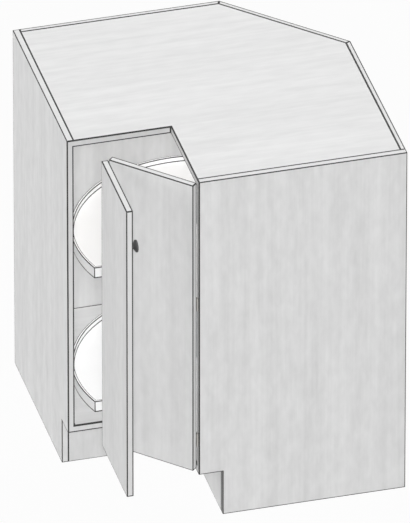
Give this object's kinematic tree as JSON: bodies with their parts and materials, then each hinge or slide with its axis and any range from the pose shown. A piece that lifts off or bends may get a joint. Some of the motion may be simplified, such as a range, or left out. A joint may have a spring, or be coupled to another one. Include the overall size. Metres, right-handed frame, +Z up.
{
  "type": "corner carousel cabinet",
  "caption": "L-shaped corner base cabinet with a cut-off room corner, a bi-fold door in its inner corner and pie-cut rotating trays on a post.",
  "frame": {"origin": "the room's corner at floor level, where the two wall planes and the floor meet; the carcass's back corner is cut off short of it", "axes": "+Z up; the left arm's back lies on the plane Y = 0 and the right arm's back on X = 0, so the cabinet fills negative X and negative Y"},
  "size_m": [0.75, 0.8232, 0.93],
  "materials": {
    "laminate": "whitewashed wood-grain melamine, matt, grain upright",
    "deck_laminate": "whitewashed wood-grain melamine, matt, grain along the left wall",
    "door_laminate": "whitewashed wood-grain melamine, matt, grain upright",
    "edge_band": "printed ABS edge band, matt",
    "raw_wood": "planed softwood, unfinished",
    "nylon": "moulded nylon, natural white",
    "zinc_steel": "zinc-plated steel",
    "nickel_steel": "nickel-plated pressed steel",
    "post": "drawn steel tube, satin plated",
    "tray_plastic": "moulded white polystyrene, soft gloss",
    "knob": "cast knob, black satin powder coat"
  },
  "bodies": {
    "carcass": {"end_panel_left": "laminate", "end_panel_right": "laminate", "back_panel_left": "laminate", "back_panel_corner": "laminate", "back_panel_right": "laminate", "top_deck": "deck_laminate", "bottom_deck": "deck_laminate", "carcass_edge_bands": "edge_band", "kick_board_left": "laminate", "kick_board_right": "laminate", "kick_corner_block": "raw_wood", "deck_cleats": "raw_wood", "cleat_screws": "zinc_steel", "wall_rail_left": "raw_wood", "wall_rail_right": "raw_wood", "joining_blocks": "nylon", "joining_block_screws": "zinc_steel", "panel_dowels": "raw_wood", "cabinet_hinge_plates": "nickel_steel", "cabinet_hinge_pins": "nickel_steel", "cabinet_hinge_screws": "zinc_steel", "pivot_plate_bottom": "zinc_steel", "pivot_washer": "nylon", "pivot_plate_top": "zinc_steel", "pivot_screws": "zinc_steel"},
    "hung_leaf": {"door_leaf_hung": "door_laminate", "hung_leaf_bands": "edge_band", "hung_leaf_hinge_plates": "nickel_steel", "hung_leaf_screws": "zinc_steel", "fold_hinge_plates_hung": "nickel_steel", "fold_hinge_pins": "nickel_steel"},
    "knob_leaf": {"door_leaf_knob": "door_laminate", "knob_leaf_bands": "edge_band", "fold_hinge_plates_knob": "nickel_steel", "knob_leaf_screws": "zinc_steel", "door_knob": "knob", "knob_stud": "zinc_steel"},
    "carousel": {"carousel_post": "post", "post_foot_plug": "nylon", "post_head_plug": "nylon", "tray_lower": "tray_plastic", "tray_upper": "tray_plastic", "collar_lower": "nylon", "collar_upper": "nylon", "hub_screws": "zinc_steel"}
  },
  "joints": [
    {"name": "hung_leaf_hinge", "type": "hinge", "parent": "carcass", "child": "hung_leaf", "pos_m": [-0.503, -0.748, 0.4055], "axis": [0, 0, 1], "range_deg": [-45, 120]},
    {"name": "fold_hinge", "type": "hinge", "parent": "hung_leaf", "child": "knob_leaf", "pos_m": [-0.67624, -0.59668, 0.5325], "axis": [0, 0, 1], "range_deg": [-45, 38]},
    {"name": "carousel_turn", "type": "hinge", "parent": "carcass", "child": "carousel", "pos_m": [-0.39, -0.39, 0.165], "axis": [0, 0, 1], "range_deg": [-360, 360]}
  ]
}
